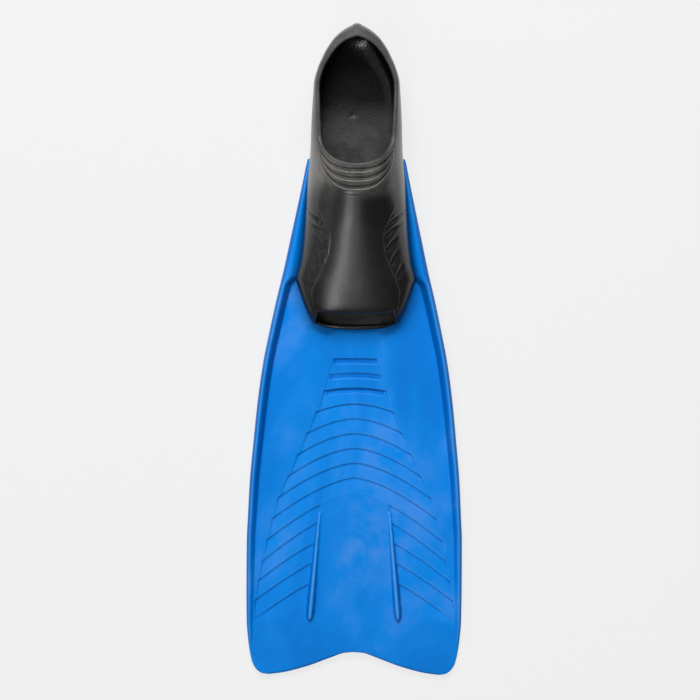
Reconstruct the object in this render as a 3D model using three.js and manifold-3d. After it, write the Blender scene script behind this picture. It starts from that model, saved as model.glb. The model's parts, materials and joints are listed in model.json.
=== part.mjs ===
// A full-foot swim fin, right way up on the floor: +Y points to the heel, -Y to the blade's tip, +Z up.
// Two mouldings make it: a stiff blade with side rails, ribs and a plate under the foot, and a soft
// rubber foot pocket over that plate. Each zone of a moulding is a solid of its own.
// All lengths are in millimetres.
import * as THREE from "three";
import { mergeVertices } from "three/addons/utils/BufferGeometryUtils.js";
import Module from "manifold-3d";

const wasm = await Module();
wasm.setup();

// ---- Driving dimensions ----
const pocketLength = 272; // toe lip to heel
const bladeLength = 308; // toe lip to the fishtail's two corners
const bladeWidth = 192.2; // across the rails at their widest
const pocketWidth = 108; // across the toe box's corners
const heelCentreToHeel = 55; // from the centre that the heel is rounded about
const instepHeight = 69; // floor to the top of the throat
const wall = 3; // rubber wall of the pocket
const collarWidth = 4.6; // rounded lip round the foot opening
const collarThickness = 4.2;
const outsoleThickness = 4.7;
const plateThickness = 3.2; // blade panel and the plate under the foot
const footbedThickness = 2.7;
const gap = 0.3; // between neighbouring solids
const bulgeHeight = 16; // where the pocket is widest, above the floor
const railTopRoot = 18.5; // rail's top edge beside the toe box
const railTopTip = 7;
const bladeDroop = 3; // how far the panel falls from root to tip
const stepDepth = 1.5; // drop at each shingle step
const stepCount = 10;
const stepPitchCentre = 13.2; // between shingle steps on the centre line
const stepPitchEdge = 19; // between their outer ends
const stepPitchTip = 17.4; // between the lines beyond the ribs' heads, which keep one shape
const ribHeight = 3.6;
const ribWidth = 7;
const hingeBehindToe = -62; // flex line, measured from the toe lip
const hingeZ = 8;
const knuckleClearance = 1;
const treadDepth = 1.6;
const grooveWidth = 3; // between the treads
const tuckUnder = 3; // how far the walls draw in from their widest place to the outsole
const gillPitch = 12.3;
const firstGill = 42.5; // from the toe lip to the foremost gill's inner end
const gillRake = 1.3; // how far a gill runs heelwards for each millimetre outwards
const gillDepth = 1.2;
const rippleHeight = 1.1;

const { PI, sin, cos, asin, abs, min, max, sign } = Math;
const lerp = (a, b, t) => a + (b - a) * t;

// ---- Places worked out from them ----
const heelY = (pocketLength + bladeLength) / 2;
const toeY = heelY - pocketLength;
const tipY = toeY - bladeLength;
const hingeY = toeY + hingeBehindToe;
const fanY = heelY - heelCentreToHeel; // centre that the heel is rounded about
const plateBase = outsoleThickness + gap;
const plateTop = plateBase + plateThickness;
const footbedBase = plateTop + gap;
const footbedTop = footbedBase + footbedThickness;
const halfPocket = pocketWidth / 2;
const halfBlade = bladeWidth / 2;
const windowBackY = toeY + 15; // toe window, along the fin
const windowFrontY = toeY + 3.4;
const cornerY = lerp(toeY, fanY, 0.2); // toe box's widest place, where the rails leave the pocket
const railStartY = lerp(toeY, fanY, 0.7);
const railEndY = tipY + 27;
const heelCutY = fanY - 7; // where the folding heel cuff meets the pocket's sides
const cuffBaseZ = 20; // lower edge of the folding heel cuff
const throatY = lerp(toeY, fanY, 0.673); // front of the foot opening
const openingMidY = lerp(toeY, fanY, 0.816); // where the opening is first at full width

const clamp01 = (t) => min(1, max(0, t));
const smooth = (t) => clamp01(t) ** 2 * (3 - 2 * clamp01(t));
const steps = (from, to, count) => Array.from({ length: count + 1 }, (_, i) => lerp(from, to, i / count));

// A smooth curve through [place, value] stations that never overshoots them.
function through(stations) {
  const n = stations.length;
  const grade = (i) => (stations[i + 1][1] - stations[i][1]) / (stations[i + 1][0] - stations[i][0]);
  const slope = stations.map((_, i) => {
    if (i === 0) return grade(0);
    if (i === n - 1) return grade(n - 2);
    const before = grade(i - 1);
    const after = grade(i);
    return before * after <= 0 ? 0 : (2 * before * after) / (before + after);
  });
  return (x) => {
    if (x <= stations[0][0]) return stations[0][1];
    if (x >= stations[n - 1][0]) return stations[n - 1][1];
    const i = stations.findIndex((s, k) => x <= s[0] && k > 0) - 1;
    const span = stations[i + 1][0] - stations[i][0];
    const t = (x - stations[i][0]) / span;
    const rise = stations[i + 1][1] - stations[i][1];
    const bend = t * (1 - t) * ((1 - t) * (slope[i] * span - rise) + t * (rise - slope[i + 1] * span));
    return stations[i][1] + rise * t + bend;
  };
}

// ---- Outlines, each as a share of the length and width that it belongs to ----

// Pocket's half width: share of the way from toe lip to the heel's centre, share of the half width.
const pocketShare = through([
  [0, 0.56], [0.01, 0.67], [0.023, 0.735], [0.19, 0.985], [0.2, 0.997], [0.215, 0.99], [0.27, 0.935],
  [0.36, 0.885], [0.49, 0.84], [0.61, 0.808], [0.73, 0.767], [0.86, 0.75], [1, 0.717],
]);
const alongPocket = (y) => (y - toeY) / (fanY - toeY);
const pocketHalf = (y) => halfPocket * pocketShare(alongPocket(y));

// Heel's radius about its centre, from the side (0) round to the back (1).
const heelRadiusShare = through([[0, 0], [0.2, -0.03], [0.38, 0.03], [0.57, 0.24], [0.74, 0.54], [1, 1]]);
const heelRadius = (turn) => lerp(pocketHalf(fanY), heelCentreToHeel, heelRadiusShare(turn));

// Top of the pocket's dome and the height where it is widest.
const domeTop = through([
  [toeY, 12], [toeY + 3, 16.5], [toeY + 10, 28], [toeY + 15, 32], [toeY + 22, 35.5],
  [cornerY, 0.62 * instepHeight], [toeY + 72, 0.76 * instepHeight], [toeY + 102, 0.9 * instepHeight],
  [throatY - 14, instepHeight], [throatY, instepHeight], [openingMidY + 6, 0.93 * instepHeight],
  [fanY, 0.95 * instepHeight],
]);
const domeFoot = through([[toeY, plateTop + 1.5], [toeY + 15, bulgeHeight - 2], [toeY + 30, bulgeHeight]]);
const domePower = through([[toeY, 3], [toeY + 60, 2.3], [throatY, 2.3], [fanY, 3.5]]);

// Line between the instep panel and the side walls: an hourglass.
const instepShare = through([
  [0, 0.54], [0.016, 0.6], [0.07, 0.705], [0.143, 0.74], [0.24, 0.6], [0.318, 0.485], [0.378, 0.46],
  [0.456, 0.57], [0.516, 0.66], [0.585, 0.645], [0.668, 0.62], [0.77, 0.615],
]);
const instepHalf = (y) => halfPocket * instepShare(alongPocket(y));

// The foot opening's rim: half an ellipse in front, straight sides, and round the heel's centre.
const openingHalf = through([[openingMidY, 0.617 * halfPocket], [fanY - 6, 0.652 * halfPocket]]);
const rimRadius = through([[0, 0.652 * halfPocket], [0.43, 0.652 * halfPocket], [0.72, 0.737 * halfPocket],
  [1, heelCentreToHeel - 12]]);
const rimFront = (turn) => ({
  x: openingHalf(openingMidY) * sin(turn),
  y: openingMidY - (openingMidY - throatY) * cos(turn),
});
// Outer edge of the ripples in front of the opening.
const rippleEdge = (turn) => ({
  x: (instepHalf(throatY - 4) - gap) * sign(sin(turn)) * abs(sin(turn)) ** 0.66,
  y: throatY - 2 - 17 * cos(turn) ** 0.66,
});

// Blade outline, rails' width and heights, all against the distance from the toe lip.
const bladeShare = through([
  [-1, 0.79], [-0.997, 0.853], [-0.981, 0.916], [-0.958, 0.949], [-0.9, 0.981], [-0.841, 0.996],
  [-0.724, 1], [-0.61, 0.999], [-0.552, 0.991], [-0.438, 0.973], [-0.321, 0.94], [-0.205, 0.903],
  [-0.091, 0.852], [-0.003, 0.796], [0.083, 0.737], [0.169, 0.671], [0.257, 0.611], [0.36, 0.541],
  [0.429, 0.495], [0.48, 0.462], [0.5, 0.445],
]);
const bladeHalf = (y) => halfBlade * bladeShare((y - toeY) / bladeLength);
const fishtail = through([[0, 20], [0.06, 19.7], [0.28, 14.5], [0.56, 7], [0.84, 1.6], [1, 0]]);
const railWidth = through([[railEndY, 4], [railEndY + 22, 6.2], [tipY + 80, 7.2], [tipY + 210, 9],
  [toeY - 20, 10.2], [cornerY, 10.5]]);
const railTop = through([
  [railEndY, railTopTip], [tipY + 130, 0.66 * railTopRoot], [toeY - 62, 0.88 * railTopRoot],
  [cornerY, railTopRoot], [lerp(cornerY, railStartY, 0.53), 0.9 * railTopRoot],
  [railStartY, 0.64 * railTopRoot],
]);
const railBase = through([[tipY + 130, 0], [cornerY, 1.2], [railStartY, plateBase]]);
const panelDrop = (y) => bladeDroop * clamp01((hingeY - y) / (hingeY - tipY));
const panelTopAt = (y) => plateTop - panelDrop(y);

// Half width of the recessed centre of the blade, and the shingle lines across it.
const recessHalf = through([
  [tipY + 60, 0.917 * halfBlade], [tipY + 84, 0.882 * halfBlade], [tipY + 121, 0.801 * halfBlade],
  [tipY + 158, 0.699 * halfBlade], [tipY + 179, 0.6 * halfBlade], [tipY + 221, 0.412 * halfBlade],
  [tipY + 242, 0.322 * halfBlade], [toeY - 27, 0.199 * halfBlade],
]);
const firstStepY = hingeY - 4;
const firstStepFall = 7; // from the first line's middle to its ends
const lastBowedStep = 7;
function stepLine(i, t) {
  const bowed = min(i, lastBowedStep);
  const beyond = stepPitchTip * (i - bowed);
  const edgeY = firstStepY - firstStepFall - stepPitchEdge * bowed - beyond;
  const centreY = firstStepY - stepPitchCentre * bowed - beyond;
  const bow = abs(t) ** lerp(1.85, 1.4, bowed / lastBowedStep);
  return { x: t * recessHalf(edgeY), y: lerp(centreY, edgeY, bow) };
}

// ---- Solids ----

// A closed body between two grids of points that have the same rows and columns.
function gridSolid(front, back) {
  const rows = front.length;
  const columns = front[0].length;
  const points = [...front.flat(), ...back.flat()];
  const faces = [];
  const quad = (a, b, c, d) => faces.push(a, b, c, a, c, d);
  const at = (side, i, j) => side * rows * columns + i * columns + j;
  for (let i = 0; i + 1 < rows; i++)
    for (let j = 0; j + 1 < columns; j++) {
      quad(at(0, i, j), at(0, i + 1, j), at(0, i + 1, j + 1), at(0, i, j + 1));
      quad(at(1, i, j), at(1, i, j + 1), at(1, i + 1, j + 1), at(1, i + 1, j));
    }
  for (let i = 0; i + 1 < rows; i++) {
    quad(at(0, i, 0), at(1, i, 0), at(1, i + 1, 0), at(0, i + 1, 0));
    quad(at(0, i, columns - 1), at(0, i + 1, columns - 1), at(1, i + 1, columns - 1), at(1, i, columns - 1));
  }
  for (let j = 0; j + 1 < columns; j++) {
    quad(at(0, 0, j), at(0, 0, j + 1), at(1, 0, j + 1), at(1, 0, j));
    quad(at(0, rows - 1, j), at(1, rows - 1, j), at(1, rows - 1, j + 1), at(0, rows - 1, j + 1));
  }
  const geometry = new THREE.BufferGeometry();
  const numbers = points.flatMap((p) => [p.x, p.y, p.z]);
  geometry.setAttribute("position", new THREE.Float32BufferAttribute(numbers, 3));
  geometry.setIndex(faces);
  return outward(geometry);
}

// The same geometry with its faces pointing out.
function outward(geometry) {
  const place = geometry.getAttribute("position");
  const index = geometry.index.array;
  const corner = (k) => new THREE.Vector3().fromBufferAttribute(place, index[k]);
  let volume = 0;
  for (let k = 0; k < index.length; k += 3) volume += corner(k).dot(corner(k + 1).cross(corner(k + 2)));
  if (volume < 0) geometry.setIndex([...index].reverse());
  return geometry;
}

function toSolid(geometry) {
  const bare = geometry.clone();
  bare.deleteAttribute("normal");
  bare.deleteAttribute("uv");
  const merged = mergeVertices(bare, 1e-4);
  const mesh = new wasm.Mesh({
    numProp: 3,
    vertProperties: merged.getAttribute("position").array,
    triVerts: new Uint32Array(merged.index.array),
  });
  return new wasm.Manifold(mesh);
}

function toGeometry(solid) {
  const mesh = solid.getMesh();
  const geometry = new THREE.BufferGeometry();
  geometry.setAttribute("position", new THREE.BufferAttribute(mesh.vertProperties, 3));
  geometry.setIndex(new THREE.BufferAttribute(mesh.triVerts, 1));
  return geometry;
}

function box(x, y, z) {
  const geometry = new THREE.BoxGeometry(x[1] - x[0], y[1] - y[0], z[1] - z[0]);
  return toSolid(geometry.translate((x[0] + x[1]) / 2, (y[0] + y[1]) / 2, (z[0] + z[1]) / 2));
}

// Flat plate between two half widths, with the same outline all the way down.
function plate(fromY, toY, rows, halfWidth, base, top) {
  const row = (y, z) => [-1, 1].map((t) => ({ x: t * halfWidth(y), y, z: z(y) }));
  const grid = (z) => steps(fromY, toY, rows).map((y) => row(y, z));
  return toSolid(gridSolid(grid(top), grid(base)));
}

// ---- The pocket's outer surface ----

// station: distance from the toe lip along the sides, then round the heel.
// around: 0 on the centre line, 1 or -1 where the pocket is widest, 2 or -2 at the outsole.
const sideLength = fanY - toeY;
const heelArc = 76;
const stationAt = (y) => y - toeY;
const heelBack = sideLength + heelArc;

function sectionAt(station) {
  const y = toeY + min(station, sideLength);
  const turn = clamp01((station - sideLength) / heelArc);
  const angle = (turn * PI) / 2;
  const reach = turn > 0 ? heelRadius(turn) : pocketHalf(y);
  return { y, angle, reach, turn, power: domePower(y), top: domeTop(y), foot: domeFoot(y) };
}

function pocketPoint(station, around, inwards = 0) {
  const s = sectionAt(station);
  const rise = (min(abs(around), 1) * PI) / 2;
  const sink = max(abs(around) - 1, 0);
  const share = sin(rise) ** (2 / s.power);
  const across = s.reach * share - tuckUnder * sink ** 1.5;
  const dome = s.foot + (s.top - s.foot) * cos(rise) ** (2 / s.power);
  const z = sink > 0 ? lerp(s.foot, plateBase, sink) : dome;
  const point = new THREE.Vector3(cos(s.angle) * across * sign(around), s.y + sin(s.angle) * across, z);
  if (inwards) point.addScaledVector(pocketNormal(station, around), -inwards);
  point.z = max(point.z, restsOn(station));
  return point;
}

// The pocket's skin stands on the blade's plate in front, and on the outsole round the heel.
const restsOn = (station) => (station < railStartY - toeY ? plateTop + gap : plateBase);

function pocketNormal(station, around) {
  const d = 0.02;
  const to = clamp(station, d, heelBack - d);
  const along = pocketPoint(to + d, around).sub(pocketPoint(to - d, around));
  const keep = abs(around) < 2 * d ? 2 * d * (sign(around) || 1) : around;
  const over = pocketPoint(station, keep + d).sub(pocketPoint(station, keep - d));
  const normal = along.cross(over).normalize();
  const s = sectionAt(station);
  const out = new THREE.Vector3(cos(s.angle) * sign(keep), sin(s.angle), 0.6);
  if (normal.dot(out) < 0) normal.negate();
  return abs(keep) > 1 ? normal.setZ(0).normalize() : normal;
}

function clamp(value, low, high) {
  return min(high, max(low, value));
}

// The value of around at a distance from the centre line.
function aroundAt(station, distance) {
  const s = sectionAt(station);
  return asin(clamp01(distance / s.reach) ** (s.power / 2)) / (PI / 2);
}

// A piece of the pocket's skin: rows of [station, around] pairs, its thickness and how far it stands proud.
function skin(rows, thickness, proud = () => 0) {
  const outer = rows.map((row) => row.map(([s, a], j) => pocketPoint(s, a, -proud(s, a, j))));
  const inner = rows.map((row) => row.map(([s, a]) => pocketPoint(s, a, thickness)));
  return gridSolid(outer, inner);
}

const lowerEdge = (station) => {
  const { foot } = sectionAt(station);
  return 1 + (foot - restsOn(station)) / (foot - plateBase);
};
const rimAt = (station) => {
  const s = sectionAt(station);
  return s.turn > 0 ? rimRadius(s.turn) : openingHalf(s.y);
};
const skinDepth = 46; // the skin's length from the rim down to its widest place
const collarEdge = (station) => aroundAt(station, rimAt(station)) + collarWidth / skinDepth;
const collarSide = pocketPoint(stationAt(openingMidY), collarEdge(stationAt(openingMidY))).x;

// The collar's outer edge in front of the opening, as an ellipse that ends in its two sides.
const collarFront = (turn, beyond) => ({
  x: (collarSide + beyond) * sin(turn),
  y: openingMidY - (openingMidY - throatY + collarWidth + beyond) * cos(turn),
});
const collarFrontHalf = (y, beyond) => {
  const share = clamp01((openingMidY - y) / (openingMidY - throatY + collarWidth + beyond));
  return (collarSide + beyond) * Math.sqrt(1 - share ** 2);
};

// Plain row of points from one value of around to another.
const span = (station, from, to, count) => steps(from, to, count).map((a) => [station, a]);

function instepPanel() {
  const rows = steps(0, 1, 18).map((k) =>
    steps(-1, 1, 14).map((t) => {
      const edge = rippleEdge((t * PI) / 2);
      const y = lerp(windowBackY, edge.y - 3 * gap, k);
      const half = instepHalf(y) - gap;
      const x = lerp(half * t, min(half, abs(edge.x)) * sign(t), k ** 6);
      return [stationAt(y), aroundAt(stationAt(y), abs(x)) * (sign(x) || 1)];
    }),
  );
  return skin(rows, wall);
}

function throatRipples() {
  const rings = 3;
  const sideTurn = asin((instepHalf(throatY) - 2 * gap) / (collarSide + gap));
  const rows = steps(0, 1, rings * 4).map((k) =>
    steps(-1, 1, 14).map((t) => {
      const outer = rippleEdge((t * PI) / 2);
      const rim = collarFront(t * sideTurn, gap);
      const x = lerp(outer.x, rim.x, k);
      const y = lerp(outer.y, rim.y, k);
      return [stationAt(y), aroundAt(stationAt(y), abs(x)) * (sign(x) || 1), k];
    }),
  );
  const ripple = (k) => rippleHeight * sin(k * rings * PI) ** 2;
  const outer = rows.map((row) => row.map(([s, a, k]) => pocketPoint(s, a, -ripple(k))));
  const inner = rows.map((row) => row.map(([s, a]) => pocketPoint(s, a, wall)));
  return gridSolid(outer, inner);
}

// Side of the pocket from the toe to the rails' start, with diagonal gills beside the instep panel's waist.
function sideWall(side) {
  const gill = (s, a) => {
    const y = toeY + s;
    const x = abs(pocketPoint(s, a).x);
    const inFromEdge = x - instepHalf(y);
    const phase = (y - toeY - firstGill - inFromEdge * gillRake) / gillPitch;
    const along = smooth((phase + 0.4) * 4) * smooth((3.4 - phase) * 4);
    const across = smooth((inFromEdge - 1) / 2) * smooth((15 - inFromEdge) / 5);
    return -gillDepth * along * across * max(0, cos(2 * PI * phase)) ** 2;
  };
  const rows = steps(0, railStartY - gap - toeY, 36).map((s) => {
    const inside = aroundAt(s, instepHalf(toeY + s) + gap);
    return [...span(s, inside, 0.999, 6), ...span(s, 1.05, lowerEdge(s), 1)].map(([u, a]) => [u, a * side]);
  });
  return skin(rows, wall, gill);
}

// Side of the ankle, from the rails' start to the folding heel.
function ankleWall(side) {
  const rows = steps(railStartY - toeY, heelCutY - gap - toeY, 9).map((s) => {
    const y = toeY + s;
    const besideFront = aroundAt(s, max(instepHalf(y) + gap, collarFrontHalf(y, 2 * gap)));
    const inside = y < openingMidY ? besideFront : collarEdge(s) + 0.01;
    return [...span(s, inside, 0.999, 5), ...span(s, 1.1, lowerEdge(s), 2)].map(([u, a]) => [u, a * side]);
  });
  return skin(rows, wall);
}

// Rows that run round the heel, from the right to the left; upper and lower are edges in terms of around.
function roundHeel(fromStation, count, upper, lower, columns) {
  return steps(-1, 1, 2 * count).map((turn) => {
    const station = lerp(heelBack, fromStation, abs(turn));
    const side = turn < 0 ? -1 : 1;
    return steps(upper(station), lower(station), columns).map((a) => [station, a * side]);
  });
}

// The value of around at a height above the skin's widest place.
function aroundAbove(station, z) {
  const s = sectionAt(station);
  const share = clamp01((z - s.foot) / (s.top - s.foot)) ** (s.power / 2);
  return Math.acos(share) / (PI / 2);
}

function heelCounter() {
  const upper = (s) => aroundAbove(s, cuffBaseZ - 2 * gap);
  const rows = roundHeel(heelCutY - toeY, 10, upper, lowerEdge, 4);
  return skin(rows, wall);
}

function heelCuff() {
  const upper = (s) => collarEdge(s) + 0.01;
  const rows = roundHeel(heelCutY - toeY, 10, upper, (s) => aroundAbove(s, cuffBaseZ), 5);
  return skin(rows, wall);
}

// The lip round the opening: a band of the skin, thicker and rounded.
const collarBulge = (j, columns) => 1.3 * sin((PI * (j + 0.5)) / (columns + 1)) - 0.4;

function heelCollar() {
  const columns = 4;
  const inner = (s) => aroundAt(s, rimAt(s));
  const rows = roundHeel(heelCutY - toeY, 10, inner, (s) => collarEdge(s) - 0.01, columns);
  return skin(rows, collarThickness, (s, a, j) => collarBulge(j, columns));
}

function throatCollar() {
  const columns = 4;
  const side = (hand) =>
    steps(heelCutY - gap - toeY, openingMidY + 1 - toeY, 7).map((s) =>
      span(s, aroundAt(s, rimAt(s)), collarEdge(s) - 0.01, columns).map(([u, a]) => [u, a * hand]),
    );
  const front = steps(-1, 1, 18).map((t) => {
    const turn = (-t * PI) / 2;
    const rim = rimFront(turn);
    const edge = collarFront(turn, -gap / 2);
    return steps(0, 1, columns).map((w) => {
      const x = lerp(rim.x, edge.x, w);
      const y = lerp(rim.y, edge.y, w);
      return [stationAt(y), aroundAt(stationAt(y), abs(x)) * (sign(x) || 1)];
    });
  });
  return skin([...side(1), ...front.slice(1, -1), ...side(-1).reverse()], collarThickness, (s, a, j) =>
    collarBulge(j, columns),
  );
}

function toeLip() {
  const rows = steps(0, windowFrontY - toeY, 3).map((s) => {
    const edge = aroundAt(s, instepHalf(toeY + s) - 2 * gap);
    return span(s, -edge, edge, 10);
  });
  return skin(rows, 2.4);
}

// Pieces inside the pocket follow its walls at a clearance.
function insidePocket(clearance) {
  const round = through(
    steps(0, 1, 24).map((turn) => {
      const reach = heelRadius(turn) - clearance;
      return [fanY + reach * sin((turn * PI) / 2), reach * cos((turn * PI) / 2)];
    }),
  );
  return (y) => (y <= fanY ? pocketHalf(y) - clearance : round(y));
}

function footbed() {
  const half = insidePocket(wall + 2.6); // clear of the wall's tuck
  const back = fanY + heelCentreToHeel - wall - 6;
  const ys = [...steps(toeY + 6, fanY, 12), ...steps(fanY + 6, back, 7)];
  const grid = (z) => ys.map((y) => steps(-1, 1, 2).map((t) => ({ x: t * half(y), y, z })));
  return gridSolid(grid(footbedTop), grid(footbedBase));
}

// ---- The blade moulding ----

function railClearance(side, extra) {
  const inner = (y) => (y > cornerY ? pocketHalf(y) + gap : bladeHalf(y) - railWidth(y));
  const ys = [...steps(railEndY, cornerY, 22), ...steps(cornerY + 4, railStartY, 10)];
  if (extra) ys.unshift(railEndY - extra);
  const edge = (y) => inner(y) - extra;
  return { ys, edge };
}

// Rail between two places along the fin: steep inner face, rounded outer edge.
function rail(side) {
  const { ys, edge } = railClearance(side, 0);
  const crown = [0.9, 1, 1, 0.93, 0.72];
  const keel = [0.35, 0.1, 0, 0, 0.25];
  const across = [0, 0.18, 0.6, 0.86, 1];
  const row = (y, heights, upper) =>
    across.map((t, j) => {
      const low = railBase(y);
      const high = railTop(y);
      const z = upper ? lerp(low, high, heights[j]) : lerp(low, min(high, plateBase), heights[j]);
      return { x: side * lerp(edge(y), bladeHalf(y), t), y, z };
    });
  return toSolid(gridSolid(ys.map((y) => row(y, crown, true)), ys.map((y) => row(y, keel, false))));
}

function railCut(side) {
  const { ys, edge } = railClearance(side, gap);
  const row = (y, z) => [0, 1].map((t) => ({ x: side * lerp(edge(y), bladeHalf(y) + 20, t), y, z }));
  return toSolid(gridSolid(ys.map((y) => row(y, 40)), ys.map((y) => row(y, -5))));
}

// The rail turns about the flex line on a round knuckle.
function knuckle(radius) {
  const cylinder = new THREE.CylinderGeometry(radius, radius, bladeWidth * 1.2, 48);
  return toSolid(cylinder.rotateZ(PI / 2).translate(0, hingeY, hingeZ));
}

const tipSide = box([-bladeWidth, bladeWidth], [tipY - 50, hingeY], [-50, 99]);
const heelSide = box([-bladeWidth, bladeWidth], [hingeY, heelY + 50], [-50, 99]);
const knuckleRadius = railTop(hingeY) - hingeZ + 0.2;

const railOnBlade = (side) => {
  const whole = rail(side);
  return toGeometry(whole.intersect(tipSide).add(whole.intersect(knuckle(knuckleRadius))));
};
const railOnRoot = (side) => {
  const whole = rail(side).intersect(heelSide);
  return toGeometry(whole.subtract(knuckle(knuckleRadius + knuckleClearance)));
};

// Shingle steps: each band is cut deepest just past a step line and rises to the next one.
function shingleCut(i) {
  const place = (t, share) => {
    const a = stepLine(i, t);
    const b = stepLine(i + 1, t);
    return { x: lerp(a.x, b.x, share), y: lerp(a.y, b.y, share) };
  };
  const depth = (p, share) => {
    const beyondRibs = i < 6 ? 1 : smooth((abs(p.x) - 44) / 10);
    return max(0.02, stepDepth * (1 - 0.85 * share) * beyondRibs);
  };
  const shares = [0, 0.9];
  const ts = steps(-1, 1, 12);
  const floor = shares.map((share) => ts.map((t) => {
    const p = place(t, share);
    return { ...p, z: panelTopAt(p.y) - depth(p, share) };
  }));
  const roof = shares.map((share) => ts.map((t) => ({ ...place(t, share), z: plateTop + 3 })));
  return toSolid(gridSolid(roof, floor));
}

function bladePanel() {
  const rootY = hingeY - 1.4;
  const rows = steps(0, 1, 24).map((s) => 1 - (1 - s) ** 1.6);
  const grid = (lift) => rows.map((s) => steps(-1, 1, 12).map((t) => {
    const y = lerp(rootY, tipY + fishtail(abs(t)), s);
    return { x: t * bladeHalf(lerp(rootY, tipY, s)), y, z: panelTopAt(y) + lift };
  }));
  let panel = toSolid(gridSolid(grid(0), grid(-plateThickness)));
  for (const side of [-1, 1]) panel = panel.subtract(railCut(side));
  for (let i = 0; i < stepCount; i++) panel = panel.subtract(shingleCut(i));
  return toGeometry(panel);
}

// Three shallow scoops across the root, just behind the flex line.
function flexScoop(k) {
  const centre = toeY - 28.2 - 13.2 * k;
  const half = 19.2 + 3.1 * k;
  const bow = 1.3 * k;
  const ts = steps(-1, 1, 12);
  const line = (offset, depth) => ts.map((t) => ({
    x: t * half,
    y: centre - bow * t * t + offset,
    z: depth === null ? plateTop + 3 : plateTop - depth,
  }));
  return toSolid(gridSolid([line(2.6, null), line(-2.6, null)], [line(2.6, 0.35), line(-2.6, 1.7)]));
}

function rootPanel() {
  let panel = plate(hingeY + 0.5, railStartY - gap, 26, bladeHalf, () => plateBase, () => plateTop);
  for (const side of [-1, 1]) panel = panel.subtract(railCut(side));
  for (const k of [0, 1, 2]) panel = panel.subtract(flexScoop(k));
  return toGeometry(panel);
}

function soleTongue() {
  const half = insidePocket(wall + 4.5);
  const top = () => plateTop;
  return toGeometry(plate(railStartY + gap, fanY + heelCentreToHeel - 14, 14, half, () => plateBase, top));
}

function powerRib(side) {
  const startY = tipY + 144;
  const endY = tipY + 47;
  const inset = through([[0, 31.3], [1, 39.3]]);
  const half = through([
    [0, 0.5], [0.55, 0.32 * ribWidth], [0.9, ribWidth / 2], [0.97, 0.36 * ribWidth], [1, 0.5],
  ]);
  const height = through([[0, 0.6], [0.6, 0.8 * ribHeight], [0.9, ribHeight], [1, 0.3 * ribHeight]]);
  const rows = [...steps(0, 0.9, 7), 0.93, 0.96, 0.98, 1];
  const section = [[-1, 0], [-0.55, 0.9], [0, 1], [0.55, 0.9], [1, 0]];
  const grid = (raised) => rows.map((s) => section.map(([t, h]) => {
    const y = lerp(startY, endY, s);
    const floor = panelTopAt(y) + gap;
    return { x: side * (inset(s) + t * half(s)), y, z: floor + (raised ? 0.05 + h * height(s) : 0) };
  }));
  return gridSolid(grid(true), grid(false));
}

// ---- The outsole: three rubber pads with cross grooves ----

function outsolePad(fromY, toY, inset, grooves, base = 0) {
  const half = insidePocket(inset);
  let pad = plate(fromY, toY, 12, half, () => base, () => outsoleThickness);
  for (const y of grooves) {
    const along = [y - grooveWidth / 2, y + grooveWidth / 2];
    pad = pad.subtract(box([-pocketWidth, pocketWidth], along, [-1, treadDepth]));
  }
  return toGeometry(pad);
}

const forefootPad = [toeY + 22, toeY + 132];
const heelPad = [fanY - 38, fanY + heelCentreToHeel - 13];
const archLift = 1.4; // the arch's pad stays off the floor
const grooveLines = ([from, to], count) => steps(from, to, count + 1).slice(1, -1);

// ---- Materials and assembly ----

const bladeBlue = { color: 0x0f78d6, roughness: 0.42, metalness: 0 };
const railBlue = { color: 0x1b70c8, roughness: 0.4, metalness: 0 };
const rubberBlack = { color: 0x2b2b2c, roughness: 0.62, metalness: 0 };
const soleRubber = { color: 0x222222, roughness: 0.8, metalness: 0 };

const fin = new THREE.Group();
function place(name, geometry, finish) {
  const mesh = new THREE.Mesh(geometry, new THREE.MeshStandardMaterial(finish));
  mesh.name = name;
  fin.add(mesh);
}

place("blade_panel", bladePanel(), bladeBlue);
place("root_panel", rootPanel(), bladeBlue);
place("sole_tongue", soleTongue(), bladeBlue);
for (const [hand, side] of [["left", -1], ["right", 1]]) {
  place(hand + "_blade_rail", railOnBlade(side), railBlue);
  place(hand + "_root_rail", railOnRoot(side), railBlue);
  place(hand + "_power_rib", powerRib(side), bladeBlue);
  place(hand + "_side_wall", sideWall(side), rubberBlack);
  place(hand + "_ankle_wall", ankleWall(side), rubberBlack);
}
place("instep_panel", instepPanel(), rubberBlack);
place("throat_ripples", throatRipples(), rubberBlack);
place("throat_collar", throatCollar(), rubberBlack);
place("toe_lip", toeLip(), rubberBlack);
place("heel_counter", heelCounter(), rubberBlack);
place("heel_cuff", heelCuff(), rubberBlack);
place("heel_collar", heelCollar(), rubberBlack);
place("footbed", footbed(), rubberBlack);
place("forefoot_outsole", outsolePad(...forefootPad, 6, grooveLines(forefootPad, 5)), soleRubber);
place("arch_outsole", outsolePad(forefootPad[1] + gap, heelPad[0] - gap, 9, [], archLift), soleRubber);
place("heel_outsole", outsolePad(...heelPad, 6, grooveLines(heelPad, 4)), soleRubber);

export default fin;
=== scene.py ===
"""A full-foot swim fin: stiff blue blade and rails, soft black rubber foot pocket.

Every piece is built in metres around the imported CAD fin: +Y to the heel, -Y to the blade's tip, +Z up.
"""

import json
import math

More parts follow.
